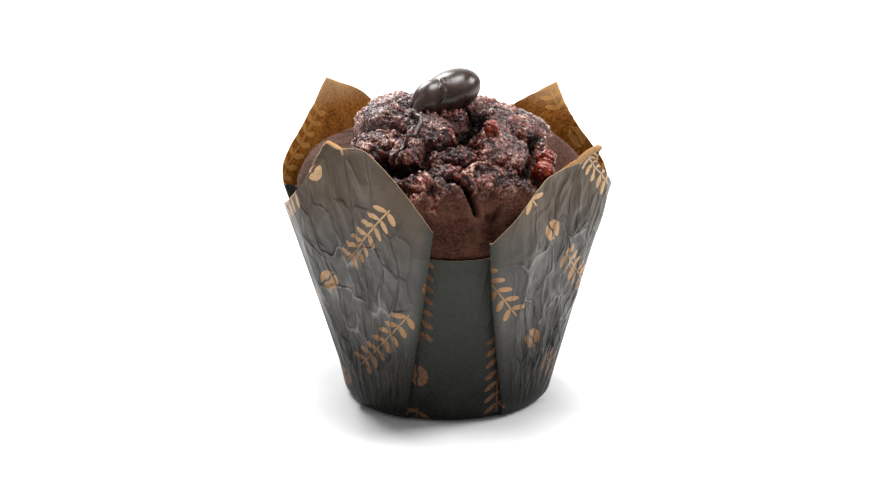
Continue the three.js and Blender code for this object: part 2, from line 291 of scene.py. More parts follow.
def place_across(step, side, hand, reach):
    """How far along the sheet a step across half a side is, its azimuth, and how far off the former."""
    turn, flare, lift, forward, flat, starts, ends, petal_starts, outer_fold = pleat_at(reach, side, hand)
    radius = former_at(reach)[0]
    fold_ends = PANEL_STEPS + FOLD_STEPS
    flat_ends = fold_ends + FLAT_STEPS
    petal_begins = flat_ends + FOLD_STEPS
    if step <= PANEL_STEPS:
        along = starts * step / PANEL_STEPS
        return along, along / radius, 0.0
    if step <= fold_ends:
        turned = turn * (step - PANEL_STEPS) / FOLD_STEPS
        azimuth = (starts + FOLD_RADIUS * math.sin(turned)) / radius
        return starts + FOLD_RADIUS * turned, azimuth, FOLD_RADIUS * (1 - math.cos(turned))
    if step <= flat_ends:
        share = (step - fold_ends) / FLAT_STEPS
        azimuth = lerp((starts + forward) / radius, outer_fold, share)
        return starts + FOLD_RADIUS * turn + flat * share, azimuth, lift + flare * share
    if step <= petal_begins:
        turned = turn * (petal_begins - step) / FOLD_STEPS
        azimuth = petal_starts - FOLD_RADIUS * math.sin(turned) / radius
        off = 2 * lift - FOLD_RADIUS * (1 - math.cos(turned)) + flare
        return ends - FOLD_RADIUS * turned, azimuth, off
    share = (step - petal_begins) / PETAL_STEPS
    off = 2 * lift + flare * lerp(1, petal_of(side, hand).middle, smooth(share, 0, 1))
    return lerp(ends, EIGHTH_TURN * reach, share), lerp(petal_starts, EIGHTH_TURN, share), off


def cut_edge(step, side, hand):
    """How far along the sheet the cut edge is, for a step across half a side."""
    petal = petal_of(side, hand)
    _, bow, corner = petal.edges[hand]
    share = clamp(across_petal(step))
    in_pleat = smooth(step, PANEL_STEPS, HALF_SIDE_STEPS - PETAL_STEPS)
    extra = bow * math.sin(math.pi * share) + corner * in_pleat * (1 - share) ** 2 + petal.tip * share**8
    edge = SHEET_SIDE / 2
    for _ in range(12):
        angle = place_across(step, side, hand, edge)[0] / edge
        edge = SHEET_SIDE / 2 / math.cos(angle) + extra
    return edge


def crumple(angle, reach, petal, height):
    """How far ridges lift a petal off its smooth shape, at an angle from its middle line."""
    across, seed = angle * reach, petal * 17.3
    drift = 3.4 * noise.noise(Vector((across * 0.12, reach * 0.1, seed)))
    ridges = 0.0
    for width, length, weight, offset in ((5.0, 16.0, 1.0, 3.1), (2.6, 8.0, 0.6, 9.7)):
        spot = Vector(((across + drift) / width, (reach + 0.8 * across) / length, seed + offset))
        ridges += weight * (1 - min(1, abs(noise.noise(spot)) * 2.4)) ** 2
    near_middle = math.exp(-((across / 13) ** 2))
    strength = near_middle * smooth(reach, 31, 44) * (1 - 0.6 * smooth(reach, 80, 96))
    wave = 0.9 * noise.noise(Vector((across * 0.12, reach * 0.06, seed + 40))) + 0.4
    return height * (ridges - 0.6) * strength + wave * smooth(reach, 34, 60)


def sheet_point(side, hand, step, reach, edge, crumple_height):
    """A point of the folded sheet, and where it lies on the flat sheet, whose cut edge is at edge."""
    reach = max(reach, 1e-6)
    along, azimuth, off = place_across(step, side, hand, reach)
    nearness = math.cos(2 * (EIGHTH_TURN - azimuth)) ** 2
    petal = petal_of(side, hand)
    tilts = [lerp(WALL_TILT, tilt, nearness) for tilt in petal.tilts]
    radius, height, slope = former_at(reach, tilts)
    towards_tip = max(0, (reach - PETAL_TURNS_FROM) / PETAL_TURNS_OVER)
    faces = CASE_TURN + 2 * EIGHTH_TURN * side + hand * azimuth + petal.turn * nearness * towards_tip
    flat_angle = 2 * EIGHTH_TURN * side + hand * along / reach
    share = clamp(across_petal(step))
    if share > 0:
        from_middle = hand * (along / reach - EIGHTH_TURN)
        lift = crumple(from_middle, reach, PETALS.index(petal), crumple_height)
        off += lift * smooth(share, 0, 0.35)
    rolled = max(0, petal.lip * smooth(share, 0.5, 0.9) - (edge - reach))
    off += LIP_RADIUS * (1 - math.cos(rolled / LIP_RADIUS))
    drawn_back = LIP_RADIUS * math.sin(rolled / LIP_RADIUS) - rolled
    radius += off * math.sin(slope) + drawn_back * math.cos(slope)
    height += -off * math.cos(slope) + drawn_back * math.sin(slope)
    return around(radius, faces, height + MID_SHEET), around(reach, flat_angle, 0)


def build_case(options):
    """A disc is spun with whole radii, and each vertex then put where the folded sheet has it."""
    shape = bmesh.new()
    rows = BASE_ROWS + CORNER_ROWS + WALL_ROWS
    spokes = [shape.verts.new((row, 0, 0)) for row in range(rows + 1)]
    edges = [shape.edges.new(pair) for pair in zip(spokes, spokes[1:])]
    columns = 8 * HALF_SIDE_STEPS
    full_turn = {"cent": (0, 0, 0), "axis": (0, 0, 1), "angle": 2 * math.pi, "use_merge": True}
    bmesh.ops.spin(shape, geom=spokes + edges, steps=columns, **full_turn)
    bmesh.ops.remove_doubles(shape, verts=shape.verts, dist=1e-4)
    bmesh.ops.recalc_face_normals(shape, faces=shape.faces)
    shape.normal_update()
    if sum(face.normal.z for face in shape.faces) > 0:
        bmesh.ops.reverse_faces(shape, faces=shape.faces)
    edge_of = {}
    flat_places = shape.verts.layers.float_vector.new("flat_place")
    reaches = shape.verts.layers.float.new("reach")
    dryness = shape.verts.layers.float.new("dry")
    for vertex in shape.verts:
        column = round(math.atan2(vertex.co.y, vertex.co.x) / (2 * math.pi) * columns) % columns
        row = round(vertex.co.length)
        side = column // (2 * HALF_SIDE_STEPS)
        within = column - (2 * side + 1) * HALF_SIDE_STEPS
        step, hand = abs(within), (1 if within > 0 else -1)
        if (step, side, hand) not in edge_of:
            edge_of[step, side, hand] = cut_edge(step, side, hand)
        edge = edge_of[step, side, hand]
        if row <= BASE_ROWS:
            reach = FLAT_RADIUS * row / BASE_ROWS
        elif row <= BASE_ROWS + CORNER_ROWS:
            reach = lerp(FLAT_RADIUS, WALL_STARTS, (row - BASE_ROWS) / CORNER_ROWS)
        else:
            # The rows stand closer together towards the cut edge.
            left = 1 - (row - BASE_ROWS - CORNER_ROWS) / WALL_ROWS
            reach = lerp(edge, WALL_STARTS, left**1.25)
        spot = sheet_point(side, hand, step, reach, edge, options.crumple_height / MM)
        vertex.co, vertex[flat_places] = spot
        vertex[reaches] = reach
        petal_share = across_petal(step)
        patch = 7 * noise.noise(vertex[flat_places] * 0.09)
        vertex[dryness] = smooth(petal_share, -0.02, 0.12) * smooth(reach + patch, 33, 60)
    uv_layer = shape.loops.layers.uv.new("flat_sheet")
    for face in shape.faces:
        for loop in face.loops:
            place = loop.vert[flat_places]
            loop[uv_layer].uv = place.to_2d() / UV_UNIT
    surfaces = (greaseproof_paper_printed, kraft_paper_inside, kraft_paper_cut_edge)
    materials = [new_material(surface, options) for surface in surfaces]
    piece = new_object("paper_case_folded", shape, materials)
    wall = piece.modifiers.new("wall", "SOLIDIFY")
    wall.thickness = options.paper_thickness
    wall.offset = 0
    wall.material_offset = 1
    wall.material_offset_rim = 2
    return piece


def repeated(add, place, pitch):
    """Which repeat of a pattern a place, in pitches, is in, and how far it is from that one's middle."""
    index = add("Math.ROUND", [place])
    off = add("Math.SUBTRACT", [place, index])
    return index, add("Math.MULTIPLY", [off, pitch])


def within_ellipse(add, x, y):
    """Where x and y, as shares of an ellipse's half axes, are inside it."""
    squared = add("Math.MULTIPLY", [x, x])
    total = add("Math.MULTIPLY_ADD", [y, y, squared])
    return add("Math.LESS_THAN", [total, 1.0])


def print_mask(add, sheet):
    """Where the print leaves the kraft bare: columns of leafy sprigs and cocoa beans, in millimetres."""
    column_pitch, period, leaf_pitch = 19.5, 44.0, 3.4
    stem_half_width, sprig_half_length = 0.2, 12.0
    leaf_off_stem, leaf_half_length, leaf_half_width, lean = 1.75, 1.75, 0.72, math.radians(34)
    bean_half_width, bean_half_length, slit_half_width, slit_wave = 2.3, 3.1, 0.28, 0.35
    split = add("SeparateXYZ", [sheet])
    first_column, first_cell = 10.0 / column_pitch, 58.5 / period
    in_columns = add("Math.MULTIPLY_ADD", [split.outputs[0], UV_UNIT / column_pitch, first_column])
    column, x = repeated(add, in_columns, column_pitch)
    # Every other column is set half a period along.
    odd = add("Math.PINGPONG", [column, 1.0])
    stagger = add("Math.MULTIPLY_ADD", [odd, 0.5, first_cell])
    in_cells = add("Math.MULTIPLY_ADD", [split.outputs[1], UV_UNIT / period, stagger])
    _, y = repeated(add, in_cells, period)
    side_x = add("Math.ABSOLUTE", [x])
    off_y = add("Math.ABSOLUTE", [y])
    # A leaf is an ellipse that leans up and away from the stem.
    stem = add("Math.LESS_THAN", [side_x, stem_half_width])
    in_leaves = add("Math.DIVIDE", [y, leaf_pitch])
    _, leaf_y = repeated(add, in_leaves, leaf_pitch)
    leaf_x = add("Math.SUBTRACT", [side_x, leaf_off_stem])
    length_y = add("Math.MULTIPLY", [leaf_y, math.sin(lean) / leaf_half_length])
    length = add("Math.MULTIPLY_ADD", [leaf_x, math.cos(lean) / leaf_half_length, length_y])
    width_y = add("Math.MULTIPLY", [leaf_y, math.cos(lean) / leaf_half_width])
    width = add("Math.MULTIPLY_ADD", [leaf_x, -math.sin(lean) / leaf_half_width, width_y])
    leaf_or_stem = add("Math.MAXIMUM", [within_ellipse(add, length, width), stem])
    in_sprig = add("Math.LESS_THAN", [off_y, sprig_half_length])
    sprig = add("Math.MULTIPLY", [leaf_or_stem, in_sprig])
    # A bean is an ellipse with a wavy slit along it.
    bean_y = add("Math.SUBTRACT", [off_y, period / 2])
    bean_width = add("Math.DIVIDE", [x, bean_half_width])
    bean_length = add("Math.DIVIDE", [bean_y, bean_half_length])
    wave = add("Math.MULTIPLY", [bean_length, math.pi * 0.9])
    waved = add("Math.SINE", [wave])
    slit_middle = add("Math.MULTIPLY_ADD", [waved, -slit_wave, x])
    off_slit = add("Math.ABSOLUTE", [slit_middle])
    beside_slit = add("Math.GREATER_THAN", [off_slit, slit_half_width])
    bean = add("Math.MULTIPLY", [within_ellipse(add, bean_width, bean_length), beside_slit])
    return add("Math.MAXIMUM", [sprig, bean])


def pressed_creases(add, sheet):
    """Creases that fan up the petals from the foot, strongest along each petal's middle line."""
    split = add("SeparateXYZ", [sheet])
    angle = add("Math.ARCTAN2", [split.outputs[1], split.outputs[0]])
    reach = add("VectorMath.LENGTH", [sheet])
    # In these steps a facet between creases is about 4 mm wide and 12 mm long half way up the wall.
    spread = add("Math.MULTIPLY", [angle, 14.0])
    climb = add("Math.MULTIPLY", [reach, 8.0])
    spot = add("CombineXYZ", [spread, climb])
    wander = add("TexNoise", {"Vector": spot, "Scale": 0.8, "Detail": 1.0})
    warped = add("VectorMath.MULTIPLY_ADD", [wander.outputs["Color"], (1.0, 1.0, 0.0), spot])
    facets, small, edges = (
        add("TexVoronoi." + feature, {"Vector": warped, "Scale": scale}, voronoi_dimensions="2D")
        for feature, scale in (("F1", 1.0), ("F1", 2.4), ("DISTANCE_TO_EDGE", 1.0))
    )
    folds = add("MapRange.SMOOTHSTEP", [edges, 0.0, 0.09, 0.35, 0.0])
    facet_height = add("Math.MULTIPLY_ADD", [small, 0.5, facets])
    ridges = add("Math.ADD", [facet_height, folds])
    doubled = add("Math.MULTIPLY", [angle, 2.0])
    wave = add("Math.SINE", [doubled])
    diagonal = add("Math.ABSOLUTE", [wave])
    near_middle = add("MapRange.SMOOTHSTEP", [diagonal, 0.84, 0.97, 0.1, 1.0])
    above_foot = add("MapRange.SMOOTHSTEP", [reach, 0.28, 0.46, 0.15, 1.0])
    below_tip = add("MapRange.SMOOTHSTEP", [reach, 0.7, 0.86, 1.0, 0.3])
    on_wall = add("Math.MULTIPLY", [above_foot, below_tip])
    strength = add("Math.MULTIPLY", [near_middle, on_wall])
    return add("Math.MULTIPLY", [ridges, strength])


def greaseproof_paper_printed(add, options):
    """Greaseproof kraft printed matt black: a soft sheen, darker and cooler where butter has soaked in,
    with painted highlights on its crease crests and a painted warm glow where it stands free.
    """
    sheet = add("UVMap", uv_map="flat_sheet")
    reach = add("Attribute", attribute_name="reach").outputs["Fac"]
    dry = add("Attribute", attribute_name="dry").outputs["Fac"]
    # Millimetres along the sheet: the soaked ink is painted darker towards the foot, and the sheet stands
    # free of the muffin past its shoulder.
    foot = add("MapRange.SMOOTHSTEP", [reach, 28.0, 66.0, 0.0, 1.0])
    free = add("MapRange.SMOOTHSTEP", [reach, 66.0, 90.0, 0.0, 1.0])
    # Patches about 10 mm across, and fibres under 1 mm, drawn as coarse as they need to show.
    patches = add("TexNoise", {"Vector": sheet, "Scale": 10.0, "Detail": 5.0, "Roughness": 0.6})
    fibres = add("TexNoise", {"Vector": sheet, "Scale": 130.0, "Detail": 3.0})
    # The soaked ink is painted darker, to near black, towards the foot.
    soaked = add("Mix.RGBA", [foot, "#0b0c09", options.ink_soaked])
    # Painted light: where the sheet stands free of the muffin, its dry ink is painted a warmer brown for
    # light shining through the paper.
    dried_with_painted_glow = add("Mix.RGBA", [free, options.ink_dry, "#584a3c"])
    ink = add("Mix.RGBA", [dry, soaked, dried_with_painted_glow])
    creases = pressed_creases(add, sheet)
    # Painted highlight: the crests of the creases are painted pale grey where the paper is dry.
    crests = add("MapRange", [creases, 0.86, 1.2, 0.0, 0.6])
    crest_highlights = add("Math.MULTIPLY", [crests, dry])
    ink = add("Mix.RGBA", [crest_highlights, ink, "#a09c96"])
    ink = tinted(add, ink, "#2c2a27", patches, [(0.38, 0.0), (0.7, 0.4)])
    ink = tinted(add, ink, "#9a9183", fibres, [(0.45, 0.0), (0.8, 0.03)])
    bare = add("Mix.RGBA", [dry, "#49301f", options.kraft])
    pale = add("Mix.RGBA", [free, bare, "#c09d74"])
    kraft = tinted(add, pale, "#8a6644", fibres, [(0.35, 0.0), (0.7, 0.35)])
    colour = add("Mix.RGBA", [print_mask(add, sheet), ink, kraft])
    gloss = add("ValToRGB", [patches], stops=[(0.3, 0.4), (0.7, 0.55)])
    fine = add("Bump", {"Height": fibres, "Strength": 0.12, "Distance": 0.0002})
    rumpled = add("Bump", {"Height": patches, "Normal": fine, "Strength": 0.4, "Distance": 0.001})
    pressed = add("Bump", {"Height": creases, "Normal": rumpled, "Strength": 1.0, "Distance": 0.0017})
    shine = {"Roughness": gloss, "IOR": 1.5, "Specular IOR Level": 0.14}
    return {"Base Color": colour, "Normal": pressed, **shine}


def kraft_paper_inside(add, options):
    """The bare kraft side of the same sheet: matt, warm brown and speckled, paler at the dry tips."""
    sheet = add("UVMap", uv_map="flat_sheet")
    reach = add("Attribute", attribute_name="reach").outputs["Fac"]
    tip = add("MapRange.SMOOTHSTEP", [reach, 90.0, 99.0, 0.0, 0.5])
    # Fibre speckle about 0.8 mm across, and cloudy patches about 12 mm across.
    grain = add("TexNoise", {"Vector": sheet, "Scale": 130.0, "Detail": 3.0, "Roughness": 0.6})
    clouds = add("TexNoise", {"Vector": sheet, "Scale": 8.0, "Detail": 3.0})
    tones = [(0.3, "#472408"), (0.5, options.kraft_inside), (0.72, "#9a6424")]
    kraft = add("ValToRGB", [grain], stops=tones)
    kraft = tinted(add, kraft, "#4f2c0e", clouds, [(0.4, 0.0), (0.7, 0.35)])
    kraft = add("Mix.RGBA", [tip, kraft, "#b39670"])
    # The print shows through faintly, as paler shapes.
    shown = add("Math.MULTIPLY", [print_mask(add, sheet), 0.6])
    colour = add("Mix.RGBA", [shown, kraft, "#a97c42"])
    bump = add("Bump", {"Height": grain, "Strength": 0.35, "Distance": 0.0002})
    return {"Base Color": colour, "Roughness": 0.8, "Normal": bump, "IOR": 1.5, "Specular IOR Level": 0.1}


def kraft_paper_cut_edge(add, _):
    """The sheet's cut edge: bare fibres, paler than either face."""
    sheet = add("UVMap", uv_map="flat_sheet")
    fibres = add("TexNoise", {"Vector": sheet, "Scale": 200.0, "Detail": 2.0})
    colour = add("ValToRGB", [fibres], stops=[(0.3, "#a98f6b"), (0.7, "#cdb893")])
    return {"Base Color": colour, "Roughness": 0.85}


# ---- Muffin ----

DOME = [
    (0.0, 74.8), (5.5, 74.4), (11.5, 73.1), (17.5, 70.9), (22.5, 68.2), (27.3, 64.8),
    (31.3, 61.0), (34.2, 57.0), (35.4, 53.2), (34.9, 50.0),
]
KNOT_STEPS = 16
LIP_HEIGHT = 45.0
CLEARANCE = 0.75
FOOT_HEIGHT = 0.6
# Azimuth and radius, seen from above, at which the broken crust gives way to whole skin.
BROKEN_RIM = [
    (-180, 24.5), (-164, 28.5), (-148, 30), (-130, 26), (-112, 25.5), (-95, 23.2), (-75, 23.4),
    (-60, 25.4), (-39, 28.2), (-30, 30.4), (-21, 33), (-14, 33.9), (-7, 33), (1, 32.2), (13, 31.6),
    (22, 31.8), (31, 32.2), (40, 33), (52, 30.5), (62, 28.5), (70, 25.2), (78, 22.3), (96, 26.5),
    (112, 24.5), (130, 29.5), (146, 25.5), (162, 28.5), (180, 24.5),
]
# Lumps of the broken crust seen from above: x, y, radius and rise.
LUMPS = [
    (-14.6, -3, 8.8, 2.9), (-14, 4.6, 8, 2.6), (-18.3, -12.2, 5.6, 1.1), (-9.6, -22.2, 5.2, 2.2),
    (-4.5, -14.6, 6.6, 1.5), (-0.6, -19, 4.4, 1.4), (3.6, -22.8, 3.4, 0.7), (-1.8, -23.4, 3.4, 0.6),
    (14.9, -20, 7.4, 2.3), (12.6, -13, 4.8, 0.6), (13.6, -5.4, 6.6, 1.3), (19.4, -5.4, 4.8, 1),
    (-21, -15.6, 4.8, 0.8), (-14.8, -16.8, 4.8, 0.8), (0.5, -29.2, 5.8, 1.8), (9.5, -28.2, 6.6, 1.9),
    (-7.2, -29.6, 5.2, 1.3), (17.2, -26.4, 5, 1.2), (-1.5, -0.5, 8.6, 0.9), (5, 11, 8.6, 0.3),
    (-6, 19, 7.4, 1.2), (14, 15, 8.4, 0.2), (20.6, 4.6, 7, 0.7), (-19, 13, 6.4, 1), (6, 25, 6, 0.9),
    (-14.5, 23, 5, 0.8), (18.5, 24, 4.8, 0.8), (-9, -8.8, 5.8, 1.3), (20.6, 14.4, 4.8, 0.6),
    (-2, 28, 4.6, 0.8), (2.2, -5.2, 5, 0.6), (25, -6.4, 3.6, 0.7), (-23, -21, 4.6, 0.6),
    (-12.4, -26.6, 4.4, 0.4),
]
GAP_DEPTH = 1.7
COBBLE_SIZE, CRUMB_SIZE, GRAIN_SIZE = 4.6, 1.5, 1.4
# The angle from the top of the sphere at which the dome's finer faces end.
DOME_ENDS = math.pi * 0.52
# What each vertex of the crust keeps for the material.
CRUST_LAYERS = ("broken", "low", "deep", "plate")
# Fixes the offsets that noise_vector draws at random.
CRUST_SEED = 1
# Holes and cracks: points seen from above, half width, depth.
CRACKS = [
    ([(5.2, -4.4), (8.2, -6.6), (8.8, -9.6), (6.6, -12.8), (4.6, -15.6), (3.7, -18)], 1.3, 5.4),
    ([(8.4, -6), (7.8, -10.2)], 2.1, 4.8),
    ([(-4.4, -20.6), (-1.3, -21.8), (1.8, -20.4), (4, -18)], 0.9, 2.6),
    ([(24, -2.6), (22.9, -4.6), (21.9, -8.4), (21.7, -12), (20.6, -16.4)], 0.9, 3.6),
    ([(20.4, -18.8), (19.8, -21.8), (17.5, -24.2)], 1.1, 2.8),
    ([(-15.2, -20.4), (-13.6, -24.4), (-9, -26.4), (-4.2, -25.9)], 1.3, 3.6),
    ([(-4.2, -25.9), (0, -25.6), (4.5, -25.6), (9.7, -24.4), (13, -24.4)], 0.9, 2.4),
    ([(-13.6, -19), (-14.4, -22)], 1.1, 2.4),
    ([(-4.8, -25.2), (-4.6, -22), (-5.4, -20.2)], 1.1, 2.6),
    ([(0.4, -30.1), (2.6, -29.8), (4.4, -30.5), (5.4, -31.5), (6.2, -32.5), (7, -33.4)], 0.6, 4.2),
    ([(-22, -7.4), (-20.4, -8), (-15.7, -10.8), (-9.8, -13.6)], 0.9, 1.8),
    ([(-11.8, -29), (-10.4, -30), (-8.6, -31.6)], 0.6, 1.4),
    ([(9.2, -33.8), (11.2, -33.3), (12.8, -32.6)], 0.5, 1.6),
    ([(10.6, -33.4), (10.9, -34.4), (10.4, -35)], 0.4, 1.2),
    ([(-3, 25), (-5.4, 28.2), (-4.6, 31.4), (-6.4, 33.4)], 0.7, 2.6),
    ([(19.6, 18), (22.8, 19.8), (24.6, 22.6)], 0.6, 2),
    ([(24, 6.6), (27.2, 8.6), (30.4, 8)], 0.5, 1.6),
    ([(-22, 14), (-25.6, 14.6), (-28.4, 17.2)], 0.5, 1.6),
]


def dome_profile():
    """The muffin's outline from its top to the middle of its foot, and how far along it each point is."""
    foot = BASE_RADIUS - CLEARANCE
    lip = foot + LIP_HEIGHT * math.tan(WALL_TILT)
    knots = [Vector(p) for p in [(-DOME[1][0], DOME[1][1]), *DOME, (lip, LIP_HEIGHT), (foot + 6, 30)]]
    curve = []
    for a, b, c, d in zip(knots, knots[1:], knots[2:], knots[3:]):
        for i in range(KNOT_STEPS):
            t = i / KNOT_STEPS
            square, cube = 2 * a - 5 * b + 4 * c - d, 3 * b - a - 3 * c + d
            curve.append(0.5 * (2 * b + (c - a) * t + square * t**2 + cube * t**3))
    curve += [
        Vector((lip, LIP_HEIGHT)), Vector((foot, FOOT_HEIGHT + 1)), Vector((foot - 0.8, FOOT_HEIGHT)),
        Vector((0, FOOT_HEIGHT)),
    ]
    return curve, list(accumulate(((b - a).length for a, b in zip(curve, curve[1:])), initial=0.0))


def along_profile(curve, lengths, distance):
    high = bisect_right(lengths, distance, 1, len(lengths) - 1)
    share = (distance - lengths[high - 1]) / max(lengths[high] - lengths[high - 1], 1e-9)
    return curve[high - 1].lerp(curve[high], clamp(share))


def rim_radius(azimuth):
    """Radius seen from above at which the broken crust gives way to whole skin."""
    degrees = math.degrees(azimuth)
    for (a, ra), (b, rb) in zip(BROKEN_RIM, BROKEN_RIM[1:]):
        if degrees <= b:
            return lerp(ra, rb, smooth(degrees, a, b))
    return BROKEN_RIM[-1][1]


def cells(point, size, seed):
    """Distances to the two nearest cell centres, in cell sizes, and the nearest one's own number."""
    distances, spots = noise.voronoi(point / size + Vector((seed, seed * 0.7, -seed)))
    return distances[0], distances[1], noise.cell(spots[0] * 7.31)


def crust(point, on_dome, crumb_height):
    """The crust's rise over the smooth dome, and how broken, low, deep in a gap and smooth it is."""
    azimuth = math.atan2(point.x, -point.y)
    wander = 1.8 * noise.noise(point * 0.16) + 1.5 * noise.noise(point * 0.5)
    inside = rim_radius(azimuth) + wander - math.hypot(point.x, point.y)
    if point.z < 55:
        inside = min(inside, -2)
    broken = smooth(inside, -0.9, 0.8)
    warp = noise.noise_vector(point * 0.2) * 1.7 + noise.noise_vector(point * 0.6) * 0.8
    flat = (point + warp * 0.8).to_2d()
    lump = -GAP_DEPTH
    for x, y, radius, rise in LUMPS:
        share = (flat - Vector((x, y))).length / radius
        if share < 1.2:
            lump = max(lump, rise - (rise + GAP_DEPTH) * share**4)
    crack = 0.0
    flat = (point + warp * 0.3).to_2d()
    for line, half, depth in CRACKS:
        ragged = half * (1 + 0.5 * noise.noise(point * 0.8 + Vector((depth, 0, 0))))
        off, where = distance_to_line(line, flat)
        if off < 3 * half:
            taper = 0.35 + 0.65 * math.sin(math.pi * clamp(where, 0.06, 0.94)) ** 0.5
            crack = max(crack, depth * taper * math.exp(-((off / ragged) ** 2)))
    near, second, own = cells(point + warp, COBBLE_SIZE, 3.0)
    cobble = 0.6 * (0.5 - near) + 0.6 * own - 0.9 * (1 - smooth(second - near, 0.0, 0.18))
    billow, size, weight = 0.0, CRUMB_SIZE, 1.0
    for octave in range(3):
        billow += weight * abs(noise.noise((point + warp * 0.3) / size + Vector((octave * 5, 3, 7))))
        size, weight = size / 2, weight * 0.6
    crumb = 0.85 * (billow - 0.38)
    grain_near, grain_second, grain_own = cells(point + warp * 0.3, GRAIN_SIZE, 23.0)
    groove = 1 - smooth(grain_second - grain_near, 0, 0.22)
    grain = 0.32 * (0.45 - grain_near) + 0.26 * grain_own - 0.26 * groove
    pits = smooth(grain_own, 0.05, 0.3) * (1 - smooth(grain_near, 0.12, 0.42))
    # Some lumps keep a smoother plate of skin on top.
    plate = smooth(noise.noise(point * 0.12 + Vector((5, 2, 8))), 0.12, 0.3)
    fine = crumb_height * (crumb + grain) * lerp(1.0, 0.35, plate) - 0.6 * pits * plate
    rise = lump + cobble * 0.6 + fine
    swell = 0.5 * noise.noise(point * 0.09 + Vector((1, 1, 1)))
    # The skin stands fuller on the left, where the dough rose against the paper, and is flat above that.
    on_left = math.exp(-(((azimuth + 1.6) / 0.7) ** 2))
    swell += on_left * lerp(-4.2, 1.4, smooth(math.hypot(point.x, point.y), 26, 32.5))
    split = abs(noise.noise(point * 0.3 + warp * 0.2))
    in_patch = smooth(noise.noise(point * 0.11 + Vector((3, 3, 3))), 0.0, 0.2)
    splits = (1 - smooth(split, 0.0, 0.025)) * in_patch
    skin = swell + 0.22 * (billow - 0.42) + 0.12 * grain - 0.5 * splits
    total = lerp(skin, rise, broken) - crack
    low = lerp(0.5 * splits, clamp(0.42 - 0.55 * (fine + 0.6 * cobble)), broken)
    deep = clamp(smooth(-lump, 0.6, GAP_DEPTH) * 0.6 * broken + smooth(crack, 0.8, 2.4))
    return total * on_dome, broken * on_dome, low, deep * on_dome, plate * broken


def build_muffin(options):
    """An icosphere, finer over the dome, is laid on the muffin's outline and then roughened into crust."""
    noise.seed_set(CRUST_SEED)
    shape = bmesh.new()
    bmesh.ops.create_icosphere(shape, subdivisions=6, radius=1)
    upper = [e for e in shape.edges if min(v.co.z for v in e.verts) > -0.1]
    bmesh.ops.subdivide_edges(shape, edges=upper, cuts=3, use_grid_fill=True)
    bmesh.ops.triangulate(shape, faces=[f for f in shape.faces if len(f.verts) > 3])
    curve, lengths = dome_profile()
    dome_length = lengths[KNOT_STEPS * (len(DOME) - 1)]
    layers = [shape.verts.layers.float.new(name) for name in CRUST_LAYERS]
    centre = Vector((0, 0, LIP_HEIGHT - 15))
    for vertex in shape.verts:
        direction = vertex.co.normalized()
        polar = math.acos(clamp(direction.z, -1, 1))
        if polar < DOME_ENDS:
            distance = dome_length * polar / DOME_ENDS
        else:
            distance = lerp(dome_length, lengths[-1], (polar - DOME_ENDS) / (math.pi - DOME_ENDS))
        outline = along_profile(curve, lengths, distance)
        azimuth = math.atan2(direction.x, -direction.y)
        base = around(outline.x, azimuth, outline.y)
        on_dome = smooth(outline.y, 47, 54)
        if on_dome > 0:
            rise, *measures = crust(base, on_dome, options.crumb_height / MM)
            vertex.co = base + (base - centre).normalized() * rise
            for layer, measure in zip(layers, measures):
                vertex[layer] = measure
        else:
            vertex.co = base
    bmesh.ops.recalc_face_normals(shape, faces=shape.faces)
    return new_object("muffin_baked", shape, [new_material(baked_chocolate_crumb, options)])


